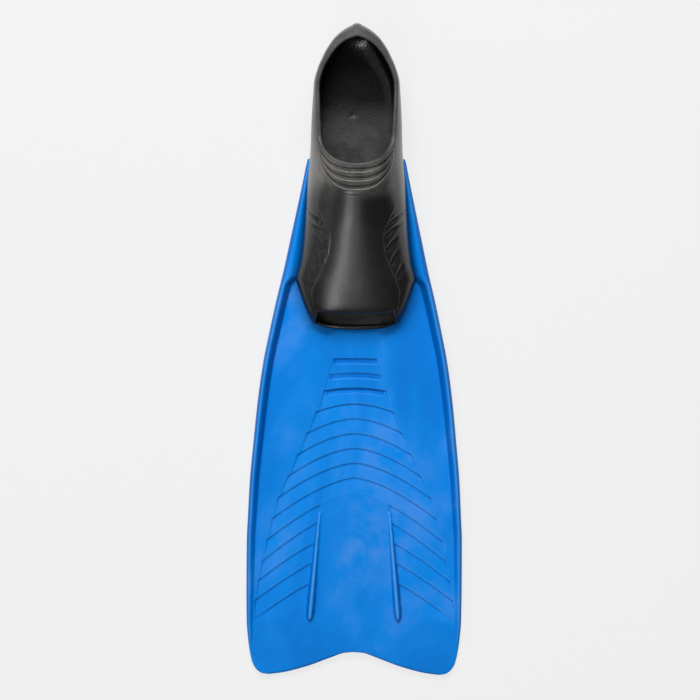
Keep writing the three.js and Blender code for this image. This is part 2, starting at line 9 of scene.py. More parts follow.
import bpy
import numpy as np
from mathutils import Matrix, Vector


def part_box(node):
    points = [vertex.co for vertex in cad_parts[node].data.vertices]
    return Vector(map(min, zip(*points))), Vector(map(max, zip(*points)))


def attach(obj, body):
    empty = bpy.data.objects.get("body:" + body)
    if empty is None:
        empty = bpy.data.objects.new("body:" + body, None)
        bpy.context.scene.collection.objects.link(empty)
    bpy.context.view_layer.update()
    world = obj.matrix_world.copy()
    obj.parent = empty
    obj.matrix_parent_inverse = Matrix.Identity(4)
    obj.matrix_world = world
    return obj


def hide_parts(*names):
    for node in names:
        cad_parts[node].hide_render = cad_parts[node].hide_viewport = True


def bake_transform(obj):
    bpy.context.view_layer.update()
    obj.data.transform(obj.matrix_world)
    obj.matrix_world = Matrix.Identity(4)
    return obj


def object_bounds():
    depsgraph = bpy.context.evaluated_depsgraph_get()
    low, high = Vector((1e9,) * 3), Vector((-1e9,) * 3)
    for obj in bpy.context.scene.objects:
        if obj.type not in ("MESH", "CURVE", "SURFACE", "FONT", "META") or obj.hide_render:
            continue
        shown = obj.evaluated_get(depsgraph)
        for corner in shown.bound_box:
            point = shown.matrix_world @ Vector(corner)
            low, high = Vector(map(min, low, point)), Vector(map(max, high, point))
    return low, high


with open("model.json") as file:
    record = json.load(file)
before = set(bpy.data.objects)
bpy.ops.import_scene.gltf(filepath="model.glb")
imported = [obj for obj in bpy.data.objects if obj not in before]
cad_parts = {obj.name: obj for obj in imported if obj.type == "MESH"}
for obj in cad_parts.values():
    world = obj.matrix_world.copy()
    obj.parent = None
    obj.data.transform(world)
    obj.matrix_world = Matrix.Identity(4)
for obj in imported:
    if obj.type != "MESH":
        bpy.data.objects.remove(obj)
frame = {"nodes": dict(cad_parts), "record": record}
cad_low, cad_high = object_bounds()

MM = 0.001
other_side = np.array([-1, 1, 1])  # takes a point of the right half to its place on the left

# ---- The CAD fin's own sizes, which every shape below is measured from ----

tip_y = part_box("blade_panel")[0].y
toe_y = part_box("toe_lip")[0].y
heel_y = cad_high.y
joint_places = {joint["name"]: joint["pos_m"] for joint in frame["record"]["behaviour"]["joints"]}
hinge_y = joint_places["blade_flex"][1]
blade_length = toe_y - tip_y
half_blade = cad_high.x
half_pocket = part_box("right_side_wall")[1].x
plate_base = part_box("root_panel")[0].z
plate_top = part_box("root_panel")[1].z
footbed_base, footbed_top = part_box("footbed")[0].z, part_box("footbed")[1].z
outsole_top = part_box("forefoot_outsole")[1].z
instep_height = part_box("instep_panel")[1].z
heel_reach = 55 * MM  # from the centre that the heel is rounded about to its back
heel_centre_y = heel_y - heel_reach
corner_y = toe_y + 0.2 * (heel_centre_y - toe_y)
rail_start_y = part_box("right_root_rail")[1].y
rail_end_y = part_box("right_blade_rail")[0].y
rail_top_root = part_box("right_root_rail")[1].z
throat_y = toe_y + 0.673 * (heel_centre_y - toe_y)
opening_mid_y = toe_y + 0.816 * (heel_centre_y - toe_y)
bulge_height = 16 * MM
window_back_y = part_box("instep_panel")[0].y
rubber_wall = 3 * MM
blade_droop = 3 * MM  # how far the panel falls from the flex line to the tip


# ---- Curves ----


def through(stations):
    """A smooth curve through (place, value) stations that never overshoots them."""
    place, value = (np.array(column, float) for column in zip(*stations))
    span, rise = np.diff(place), np.diff(value)
    grade = rise / span
    slope = np.zeros(len(place))
    slope[0], slope[-1] = grade[0], grade[-1]
    same_way = grade[:-1] * grade[1:] > 0
    total = np.where(same_way, grade[:-1] + grade[1:], 1)
    slope[1:-1] = np.where(same_way, 2 * grade[:-1] * grade[1:] / total, 0)

    def curve(x):
        x = np.clip(x, place[0], place[-1])
        i = np.clip(np.searchsorted(place, x, side="right") - 1, 0, len(span) - 1)
        t = (x - place[i]) / span[i]
        bend = (1 - t) * (slope[i] * span[i] - rise[i]) + t * (rise[i] - slope[i + 1] * span[i])
        return value[i] + rise[i] * t + t * (1 - t) * bend

    return curve


def smooth(t):
    """0 below 0, 1 above 1, with a soft start and end between."""
    t = np.clip(t, 0, 1)
    return t * t * (3 - 2 * t)


def mix(a, b, t):
    """a where t is 0, b where t is 1."""
    return a + (b - a) * t


# ---- Outlines, each as a share of the length and width that it belongs to ----

pocket_share = through([
    (0, 0.3), (0.0152, 0.56), (0.0207, 0.675), (0.033, 0.738), (0.19, 0.985), (0.2, 0.997),
    (0.215, 0.99), (0.27, 0.935), (0.36, 0.885), (0.49, 0.84), (0.61, 0.808), (0.73, 0.767),
    (0.86, 0.75), (1, 0.717),
])
heel_share = through([(0, 0), (0.2, -0.03), (0.38, 0.03), (0.57, 0.24), (0.74, 0.54), (1, 1)])
dome_top = through([
    (toe_y, 12 * MM), (toe_y + 3 * MM, 16.5 * MM), (toe_y + 10 * MM, 28 * MM), (toe_y + 15 * MM, 32 * MM),
    (toe_y + 22 * MM, 35.5 * MM), (corner_y, 0.62 * instep_height), (toe_y + 72 * MM, 0.76 * instep_height),
    (toe_y + 102 * MM, 0.9 * instep_height), (throat_y - 14 * MM, instep_height), (throat_y, instep_height),
    (opening_mid_y + 6 * MM, 0.93 * instep_height), (heel_centre_y, 0.95 * instep_height),
])
dome_foot = through([
    (toe_y, plate_top + 1.5 * MM), (toe_y + 15 * MM, bulge_height - 2 * MM), (toe_y + 30 * MM, bulge_height),
])
dome_power = through([(toe_y, 3), (toe_y + 60 * MM, 2.3), (throat_y, 2.3), (heel_centre_y, 3.5)])
instep_share = through([
    (0, 0.54), (0.016, 0.6), (0.07, 0.705), (0.143, 0.74), (0.24, 0.6), (0.318, 0.485), (0.378, 0.46),
    (0.456, 0.57), (0.516, 0.66), (0.585, 0.645), (0.668, 0.62), (0.77, 0.615),
])
blade_share = through([
    (-1, 0.79), (-0.997, 0.853), (-0.981, 0.916), (-0.958, 0.949), (-0.9, 0.981), (-0.841, 0.996),
    (-0.724, 1), (-0.61, 0.999), (-0.552, 0.991), (-0.438, 0.973), (-0.321, 0.94), (-0.205, 0.903),
    (-0.091, 0.852), (-0.003, 0.796), (0.083, 0.737), (0.169, 0.671), (0.257, 0.611), (0.36, 0.541),
    (0.429, 0.495), (0.48, 0.462), (0.5, 0.445),
])
fishtail = through([
    (0, 20 * MM), (0.1, 19.4 * MM), (0.28, 14.8 * MM), (0.56, 7 * MM), (0.84, 1.6 * MM), (1, 0),
])
rail_width = through([
    (rail_end_y, 3.2 * MM), (rail_end_y + 22 * MM, 5 * MM), (tip_y + 80 * MM, 6.2 * MM),
    (tip_y + 210 * MM, 8.2 * MM), (toe_y - 20 * MM, 8.8 * MM), (corner_y, 9.6 * MM),
])
rail_top = through([
    (rail_end_y, 7 * MM), (tip_y + 130 * MM, 0.66 * rail_top_root), (toe_y - 62 * MM, 0.88 * rail_top_root),
    (corner_y, rail_top_root), (mix(corner_y, rail_start_y, 0.53), 0.9 * rail_top_root),
    (rail_start_y, 0.64 * rail_top_root),
])
rail_base = through([(tip_y + 130 * MM, 0), (corner_y, 1.2 * MM), (rail_start_y, plate_base)])
recess_half = through([
    (tip_y + 60 * MM, 0.917 * half_blade), (tip_y + 84 * MM, 0.882 * half_blade),
    (tip_y + 121 * MM, 0.801 * half_blade), (tip_y + 158 * MM, 0.699 * half_blade),
    (tip_y + 179 * MM, 0.6 * half_blade), (tip_y + 221 * MM, 0.412 * half_blade),
    (tip_y + 242 * MM, 0.322 * half_blade), (toe_y - 27 * MM, 0.199 * half_blade),
])


window_half = through([
    (toe_y, 31 * MM), (toe_y + 2 * MM, 34.8 * MM), (toe_y + 4.4 * MM, 36.5 * MM),
    (window_back_y, 34.5 * MM),
])


def along_pocket(y):
    """0 at the toe lip and 1 at the centre that the heel is rounded about."""
    return (y - toe_y) / (heel_centre_y - toe_y)


def pocket_half(y):
    return half_pocket * pocket_share(along_pocket(y))


def instep_half(y):
    return half_pocket * instep_share(along_pocket(y))


def blade_half(y):
    return half_blade * blade_share((y - toe_y) / blade_length)


def panel_drop(y):
    return blade_droop * np.clip((hinge_y - y) / (hinge_y - tip_y), 0, 1)


# ---- Meshes ----


def new_mesh(name, points, faces, material):
    """A smooth body from its points and a list of faces, each a list of point numbers."""
    mesh = bpy.data.meshes.new(name)
    mesh.from_pydata(points.tolist(), [], faces)
    mesh.validate()
    mesh.update()
    piece = bpy.data.objects.new(name, mesh)
    bpy.context.collection.objects.link(piece)
    mesh.materials.append(material)
    for polygon in mesh.polygons:
        polygon.use_smooth = True
    face_out(mesh)
    return piece


def face_out(mesh):
    """Turns the faces round if the closed surface is inside out."""
    mesh.calc_loop_triangles()
    corners = np.zeros(len(mesh.loop_triangles) * 3, int)
    mesh.loop_triangles.foreach_get("vertices", corners)
    place = np.zeros(len(mesh.vertices) * 3)
    mesh.vertices.foreach_get("co", place)
    a, b, c = place.reshape(-1, 3)[corners.reshape(-1, 3)].transpose(1, 0, 2)
    if np.einsum("ij,ij->", a, np.cross(b, c)) < 0:
        mesh.flip_normals()


def quads(index):
    """The four-cornered faces of a grid of vertex numbers."""
    corners = [index[:-1, :-1], index[1:, :-1], index[1:, 1:], index[:-1, 1:]]
    return np.stack(corners, -1).reshape(-1, 4)


def slab(name, front, back, material):
    """A closed body between two grids of points with the same rows and columns."""
    rows, columns = front.shape[:2]
    near = np.arange(rows * columns).reshape(rows, columns)
    far = near + rows * columns
    rim = np.concatenate([near[0, :-1], near[:-1, -1], near[-1, :0:-1], near[:0:-1, 0]])
    far_rim = rim + rows * columns
    edge = np.stack([rim, np.roll(rim, -1), np.roll(far_rim, -1), far_rim], -1)
    faces = np.concatenate([quads(near), quads(far)[:, ::-1], edge])
    points = np.concatenate([front.reshape(-1, 3), back.reshape(-1, 3)])
    return new_mesh(name, points, faces.tolist(), material)


def swept(name, sections, material, ring=False):
    """A body swept through closed sections: sections[row, around the section, xyz]. A ring's last
    section joins its first; the ends of any other body are closed by fans of triangles."""
    rows, count = sections.shape[:2]
    index = np.arange(rows * count).reshape(rows, count)
    index = np.concatenate([index, index[:, :1]], 1)
    points = sections.reshape(-1, 3)
    if ring:
        return new_mesh(name, points, quads(np.concatenate([index, index[:1]])).tolist(), material)
    middles = np.stack([sections[0].mean(0), sections[-1].mean(0)])
    first, last = rows * count, rows * count + 1
    start = np.stack([np.full(count, first), index[0, 1:], index[0, :-1]], -1)
    end = np.stack([np.full(count, last), index[-1, :-1], index[-1, 1:]], -1)
    faces = quads(index).tolist() + start.tolist() + end.tolist()
    return new_mesh(name, np.concatenate([points, middles]), faces, material)


# ---- The pocket's outer surface ----

side_length = heel_centre_y - toe_y
heel_arc = 76 * MM  # length of station given to the turn round the heel
heel_back = side_length + heel_arc
tuck_under = 3 * MM  # how far the walls draw in below their widest line


def section_at(station):
    """The pocket's section at a station: y, share and angle of the turn round the heel, half width,
    roundness, top and widest height."""
    y = toe_y + np.minimum(station, side_length)
    turn = np.clip((station - side_length) / heel_arc, 0, 1)
    round_reach = mix(pocket_half(heel_centre_y), heel_reach, heel_share(turn))
    reach = np.where(turn > 0, round_reach, pocket_half(y))
    return y, turn, turn * math.pi / 2, reach, dome_power(y), dome_top(y), dome_foot(y)


def skin_point(station, around):
    """A point of the outer skin. around is 0 on the centre line, 1 or -1 where the pocket is widest,
    and 2 or -2 at the outsole; station runs from the toe lip along the side and round the heel."""
    y, turn, angle, reach, power, top, foot = section_at(station)
    rise = np.minimum(abs(around), 1) * math.pi / 2
    sink = np.maximum(abs(around) - 1, 0)
    across = reach * np.sin(rise) ** (2 / power) - tuck_under * sink**1.5
    dome = foot + (top - foot) * np.maximum(np.cos(rise), 0) ** (2 / power)
    z = np.where(sink > 0, mix(foot, plate_base, sink), dome)
    side = np.where(around < 0, -1, 1)
    return np.stack([np.cos(angle) * across * side, y + np.sin(angle) * across, z], -1)


def skin_normal(station, around):
    """The direction straight out of the skin, kept level below the widest line."""
    step = 0.02 * MM
    turn_step = 1e-4
    near_centre = 0.02  # closest to the centre line that the slope is measured
    middle = np.clip(station, step, heel_back - step)
    along = skin_point(middle + step, around) - skin_point(middle - step, around)
    side = np.where(around < 0, -1, 1)
    aside = np.where(abs(around) < near_centre, near_centre * side, around)
    over = skin_point(station, aside + turn_step) - skin_point(station, aside - turn_step)
    normal = np.cross(along, over)
    normal /= np.maximum(np.linalg.norm(normal, axis=-1, keepdims=True), 1e-12)
    _, _, angle, *_ = section_at(station)
    out = np.stack([np.cos(angle) * side, np.sin(angle), np.full(np.shape(angle * side), 0.6)], -1)
    normal *= np.where(np.sum(normal * out, -1, keepdims=True) < 0, -1, 1)
    normal[..., 2] = np.where(abs(aside) > 1, 0, normal[..., 2])
    return normal / np.maximum(np.linalg.norm(normal, axis=-1, keepdims=True), 1e-12)


def around_at(station, distance):
    """The value of around at a distance from the centre line."""
    _, _, _, reach, power, _, _ = section_at(station)
    return np.arcsin(np.clip(distance / reach, 0, 1) ** (power / 2)) / (math.pi / 2)


def skin_at(x, y):
    """station and around for a place seen from above, in front of the heel's centre."""
    station = y - toe_y
    return station, around_at(station, abs(x)) * np.where(x < 0, -1, 1)


rim_side = 0.617 * half_pocket  # half the opening's width where its front arch ends
rim_squareness = 0.88
rim_beside = through([(opening_mid_y, rim_side), (heel_centre_y - 6 * MM, 0.652 * half_pocket)])
rim_behind = through([(0, 0.643), (0.25, 0.625), (0.5, 0.57), (0.75, 0.507), (1, 0.45)])


def rim_around(station):
    """Where the opening's edge lies on the skin, beside the foot and behind it."""
    y, turn, *_ = section_at(station)
    return np.where(turn > 0, rim_behind(turn), around_at(station, rim_beside(y)))


def rim_front(turn):
    """A place on the opening's front arch, seen from above; turn is 0 at its middle."""
    across = np.sign(turn) * abs(np.sin(turn)) ** rim_squareness
    along = np.maximum(np.cos(turn), 0) ** rim_squareness
    return rim_side * across, opening_mid_y - (opening_mid_y - throat_y) * along


ripple_reach = 51.7 * MM  # how far the band's front edge arches out on the centre line
ripple_span = 23.5  # millimetres from the opening's rim to just past the last groove
ripple_grooves = (0.235, 0.57, 0.9)  # where each lies, as a share of that
ripple_groove_half = 1.35  # millimetres
ripple_depth = 2.4  # millimetres


def ripple_edge(turn):
    """Front edge of the rippled band, seen from above; turn is 0 at its middle."""
    squareness = 0.72
    x = (rim_side + 0.3 * MM) * np.sign(turn) * abs(np.sin(turn)) ** squareness
    return x, opening_mid_y - 8 * MM - ripple_reach * np.maximum(np.cos(turn), 0) ** squareness


def ripple_place(x, y):
    """0 on the opening's rim and 1 past the last groove, along rings that close up at its sides."""
    power = 2 / 0.8
    closing = np.maximum(1 - (abs(x) / (rim_side + 1.5 * MM)) ** power, 0)
    front = (opening_mid_y - y) / np.maximum(closing, 0.02) ** (1 / power)
    return (front - (opening_mid_y - throat_y)) / (ripple_span * MM), closing


def further_out(station, around, distance):
    """The value of around that lies a distance further down the skin."""
    small = 0.01
    length = np.linalg.norm(skin_point(station, around + small) - skin_point(station, around), axis=-1)
    return around + small * distance / length


def surface(station, around, proud):
    """A point that stands proud of the outer skin by a distance."""
    return skin_point(station, around) + skin_normal(station, around) * np.asarray(proud)[..., None]


# ---- Shader maths ----


class Value:
    """Something that varies over a surface, as an output socket; arithmetic on it adds Math nodes."""

    def __init__(self, finish, socket):
        self.finish = finish
        self.socket = socket

    def _do(self, operation, *inputs):
        return self.finish.node("ShaderNodeMath", {"operation": operation}, dict(enumerate(inputs)))

    def __add__(self, other):
        return self._do("ADD", self, other)

    def __sub__(self, other):
        return self._do("SUBTRACT", self, other)

    def __rsub__(self, other):
        return self._do("SUBTRACT", other, self)

    def __mul__(self, other):
        return self._do("MULTIPLY", self, other)

    def between(self, low, high):
        """0 below low, 1 above high, smooth between."""
        settings = {"interpolation_type": "SMOOTHSTEP"}
        inputs = {"Value": self, "From Min": low, "From Max": high}
        return self.finish.node("ShaderNodeMapRange", settings, inputs)


class Finish:
    """One material, built from a Principled shader."""

    def __init__(self, name, **constants):
        self.material = bpy.data.materials.new(name)
        self.material.use_nodes = True
        self.tree = self.material.node_tree
        self.shader = self.tree.nodes["Principled BSDF"]
        for socket, value in constants.items():
            self.shader.inputs[socket.replace("_", " ")].default_value = value

    def node(self, kind, settings, inputs, output=0):
        """A node with its settings made first, then its sockets; the answer is one of its outputs."""
        made = self.tree.nodes.new(kind)
        for setting, value in settings.items():
            setattr(made, setting, value)
        for key, value in inputs.items():
            self.feed(self._socket(made.inputs, key), value)
        return Value(self, self._socket(made.outputs, output))

    def _socket(self, sockets, key):
        """A socket by its number, its identifier or its name."""
        if isinstance(key, int):
            return sockets[key]
        return next(s for s in sockets if key in (s.identifier, s.name))

    def feed(self, socket, value):
        if isinstance(value, Value):
            self.tree.links.new(value.socket, socket)
        elif isinstance(value, (tuple, list)) and socket.type == "RGBA":
            socket.default_value = (*value[:3], 1)
        else:
            socket.default_value = value

    def set(self, socket, value):
        self.feed(self.shader.inputs[socket], value)

    def place(self):
        return self.node("ShaderNodeTexCoord", {}, {}, "Object")

    def stretched(self, x, y, z):
        """The place scaled along each axis, which draws a texture out where the scale is small."""
        return self.node("ShaderNodeMapping", {}, {"Vector": self.place(), "Scale": (x, y, z)})

    def facing_up(self):
        """1 where the surface lies flat, 0 where it stands upright."""
        normal = self.node("ShaderNodeTexCoord", {}, {}, "Normal")
        return self.node("ShaderNodeSeparateXYZ", {}, {"Vector": normal}, "Z")

    def along_y(self, waver):
        """How far along the fin, with a wavering line across it."""
        waver_reach = 30 * MM
        y = self.node("ShaderNodeSeparateXYZ", {}, {"Vector": self.place()}, "Y")
        return y + (waver - 0.5) * waver_reach

    def noise(self, scale, detail=3.0, roughness=0.55, vector=None, distortion=0.0):
        inputs = {"Vector": vector or self.place(), "Scale": scale, "Detail": detail,
                  "Roughness": roughness, "Distortion": distortion}
        return self.node("ShaderNodeTexNoise", {}, inputs, 0)

    def pits(self, scale):
        inputs = {"Vector": self.place(), "Scale": scale}
        return self.node("ShaderNodeTexVoronoi", {"feature": "F1"}, inputs, 0)

    def blend(self, one, other, share):
        """Colour one turning into colour other as share goes from 0 to 1."""
        inputs = {"Factor_Float": share, "A_Color": one, "B_Color": other}
        return self.node("ShaderNodeMix", {"data_type": "RGBA"}, inputs, "Result_Color")

    def edges(self):
        """Above 0.5 on edges that stand out, below it in hollows."""
        return self.node("ShaderNodeNewGeometry", {}, {}, "Pointiness")

    def bump(self, height, distance, strength=1.0):
        inputs = {"Height": height, "Distance": distance, "Strength": strength}
        self.set("Normal", self.node("ShaderNodeBump", {}, inputs, "Normal"))


# ---- Materials ----


def moulded_blue():
    """Satin blue blade compound: flow marks, paler rubbed patches, painted shade turning slanted walls
    a deeper blue, a painted highlight on convex edges and a fine moulded grain."""
    finish = Finish("moulded_blue", IOR=1.48, Specular_IOR_Level=0.12)
    flow = finish.noise(9, 4, 0.6, finish.stretched(1, 0.55, 1), 0.6)
    rubbed = finish.noise(38, 5, 0.62)
    deep = (0.0, 0.188, 0.67)
    fresh = (0.0, 0.235, 0.78)
    pale = (0.1, 0.29, 0.82)
    colour = finish.blend(deep, fresh, flow.between(0.36, 0.56))
    chalk = flow.between(0.45, 0.66) * rubbed.between(0.36, 0.66)
    colour = finish.blend(colour, pale, chalk * 0.55)
    level = finish.facing_up()
    # painted shade: walls that slant between flat and upright turn a deeper blue
    painted_wall_shade = (1 - level.between(0.45, 0.93)) * level.between(0.05, 0.4)
    colour = finish.blend(colour, (0.0, 0.115, 0.46), painted_wall_shade * 0.78)
    # painted highlight: convex edges turn a paler blue
    painted_edge_highlight = finish.edges().between(0.508, 0.56)
    colour = finish.blend(colour, (0.09, 0.4, 0.95), painted_edge_highlight * 0.6)
    finish.set("Base Color", colour)
    grain = finish.noise(1500, 2, 0.5)
    finish.set("Roughness", rubbed * 0.14 + 0.4 + grain * 0.06)
    finish.bump(grain * 0.35 + rubbed * 0.8, 0.00012, 0.5)
    return finish.material


def pocket_rubber():
    """Black rubber with a soft shine: a fine grain, a grey bloom, a painted highlight of pale grey
    patches around the throat's ripples and walls, and paler edges."""
    finish = Finish("pocket_rubber", IOR=1.52)
    bloom = finish.noise(16, 5, 0.6)
    speck = finish.noise(420, 3, 0.6)
    colour = finish.blend((0.005, 0.005, 0.0052), (0.014, 0.014, 0.0135), bloom.between(0.35, 0.7))
    colour = finish.blend(colour, (0.045, 0.045, 0.043), speck.between(0.62, 0.78) * 0.35)
    y = finish.along_y(bloom)
    # painted highlight: pale warm grey patches around the throat, where the walls and ripples catch a sheen
    before_throat = y.between(throat_y - 34 * MM, throat_y - 4 * MM)
    painted_throat_highlight = before_throat * (1 - y.between(throat_y, throat_y + 46 * MM))
    colour = finish.blend(colour, (0.19, 0.183, 0.17), painted_throat_highlight * bloom.between(0.3, 0.62) * 0.75)
    colour = finish.blend(colour, (0.06, 0.06, 0.058), finish.edges().between(0.51, 0.58) * 0.35)
    finish.set("Base Color", colour)
    finish.set("Roughness", bloom * 0.14 + 0.19 + speck * 0.06)
    grain = finish.noise(1300, 2, 0.55)
    finish.bump(grain * 0.5 + speck * 0.6, 0.00014, 0.55)
    return finish.material


def collar_rubber():
    """The lip's duller, slightly paler rubber."""
    finish = Finish("collar_rubber", IOR=1.5)
    bloom = finish.noise(60, 4, 0.6)
    colour = finish.blend((0.045, 0.045, 0.045), (0.075, 0.075, 0.073), bloom.between(0.3, 0.7))
    finish.set("Base Color", colour)
    finish.set("Roughness", bloom * 0.12 + 0.6)
    grain = finish.noise(1500, 2, 0.55)
    finish.bump(grain, 0.00012, 0.5)
    return finish.material


def footbed_rubber():
    """Mottled footbed: dull grey blotches on black, pebbled grip, painted shade at the shiny heel."""
    finish = Finish("footbed_rubber", IOR=1.45)
    blotch = finish.noise(34, 5, 0.68, distortion=0.8)
    # painted shade: near black towards the heel, where the heel cup would shade it; that end is also
    # smoother
    painted_heel_shade = finish.along_y(blotch).between(heel_centre_y - 44 * MM, heel_centre_y - 8 * MM)
    dusty = finish.blend((0.014, 0.014, 0.014), (0.05, 0.048, 0.046), blotch.between(0.36, 0.66))
    finish.set("Base Color", finish.blend(dusty, (0.004, 0.004, 0.004), painted_heel_shade))
    finish.set("Roughness", (1 - painted_heel_shade) * (blotch * 0.25 + 0.17) + 0.26)
    pebble = finish.pits(430)
    finish.bump(pebble * 0.6 + blotch * 0.8, 0.0003, 0.6)
    return finish.material


def outsole_rubber():
    """Hard-wearing sole rubber with scuffs on what touches the ground."""
    finish = Finish("outsole_rubber", IOR=1.5)
    scuff = finish.noise(120, 4, 0.65, finish.stretched(3, 0.6, 1))
    colour = finish.blend((0.018, 0.018, 0.018), (0.07, 0.069, 0.067), scuff.between(0.55, 0.75) * 0.7)
    finish.set("Base Color", colour)
    finish.set("Roughness", scuff * 0.2 + 0.6)
    grain = finish.noise(900, 3, 0.6)
    finish.bump(grain + scuff * 0.5, 0.0002, 0.6)
    return finish.material


blade_blue = moulded_blue()
black_rubber = pocket_rubber()
lip_rubber = collar_rubber()
footbed_finish = footbed_rubber()
sole_finish = outsole_rubber()

# ---- The blade ----

step_count = 11
step_pitch_centre = 13.2 * MM  # between shingle lines on the centre line
step_pitch_edge = 19 * MM  # between their outer ends
step_pitch_tip = 17.4 * MM  # between the lines beyond the ribs' heads, which keep one shape
last_bowed_step = 7
first_step_y = hinge_y - 4 * MM
first_step_bow = 7 * MM  # how far the first line's outer ends lie tipwards of its middle
step_depth = 1.9 * MM
step_notch = 1.4 * MM  # how far the recess's edge steps out at each line


def step_line(i, x):
    """How far along the fin shingle line i lies, at a distance x from the centre line."""
    bowed = min(i, last_bowed_step)
    beyond = step_pitch_tip * (i - bowed)
    edge_y = first_step_y - first_step_bow - step_pitch_edge * bowed - beyond
    centre_y = first_step_y - step_pitch_centre * bowed - beyond
    share = abs(x) / recess_half(edge_y)
    roundness = mix(1.85, 1.4, np.clip(bowed / last_bowed_step, 0, 1))
    return mix(centre_y, edge_y, share**roundness)


def shingle_count(x, y):
    """How many shingle lines have been passed on the way to the tip, with the share of the next one."""
    count = np.zeros_like(x)
    for i in range(-1, step_count):
        here, after = step_line(i, x), step_line(i + 1, x)
        count += np.clip((here - y) / (here - after), 0, 1)
    return count


def shingles(x, y):
    """Depth of the shingle steps: each drops at its line and climbs back to the next one."""
    count = shingle_count(x, y)
    number = np.floor(count)
    climb = count - number
    face = 0.075  # share of the pitch that the step's face takes
    shallow = 0.26  # share of the depth that is left at the top of a step
    drop = mix(shallow, 1, smooth(climb / face))
    depth = np.where(climb < face, drop, mix(1, shallow, (climb - face) / (1 - face)))
    beyond_rib = smooth((abs(x) - rib_centre(y) + 1 * MM) / (2 * MM))
    centre_fade = np.where(number > 7, beyond_rib, np.where(number > 6, mix(0.3, 1, beyond_rib), 1))
    ends = smooth((y - tip_y - 44 * MM) / (16 * MM))
    return step_depth * depth * centre_fade * ends


rib_start_y = tip_y + 146 * MM
rib_end_y = tip_y + 48 * MM
rib_half = through([(0, 1.4 * MM), (0.5, 2.9 * MM), (0.9, 3.9 * MM), (0.97, 3 * MM), (1, 0.7 * MM)])
rib_height = through([(0, 1.4 * MM), (0.5, 4 * MM), (0.92, 5.2 * MM), (1, 4 * MM)])


def rib_along(y):
    """0 at the ribs' narrow start and 1 at their heads near the tip."""
    return (rib_start_y - y) / (rib_start_y - rib_end_y)


def rib_centre(y):
    return mix(31 * MM, 39.5 * MM, rib_along(y))


def power_rib(x, y):
    """Height of the two tapered ribs, which narrow to a crest."""
    along = rib_along(y)
    across = np.clip(abs(abs(x) - rib_centre(y)) / rib_half(along), 0, 1)
    inside = smooth(along / 0.03) * smooth((1.005 - along) / 0.012)
    return rib_height(along) * (1 - across**1.35) ** 0.9 * inside


scoop_count = 3
first_scoop = 28.0  # millimetres from the toe lip
scoop_pitch = 13.0  # millimetres
first_scoop_half = 19.4  # millimetres
scoop_growth = 3.2  # millimetres that each scoop is longer, on either side, than the one before


def flex_scoops(x, y):
    """Depth of the three scoops across the root."""
    depth = np.zeros_like(x)
    for k in range(scoop_count):
        centre = toe_y - (first_scoop + scoop_pitch * k) * MM
        half = (first_scoop_half + scoop_growth * k) * MM
        line = centre - (0.5 + 1.1 * k) * MM * (x / half) ** 2
        into = (line - y) / (2.3 * MM)  # -1 at the heel side's edge, 1 at the tip side's
        floor = mix(0.7, 2.6, np.clip(into * 0.5 + 0.5, 0, 1)) * MM
        ends = smooth((half - abs(x)) / (0.9 * MM))
        depth += floor * ends * smooth((1.1 - into) / 0.25) * smooth((into + 1.15) / 0.35)
    return depth


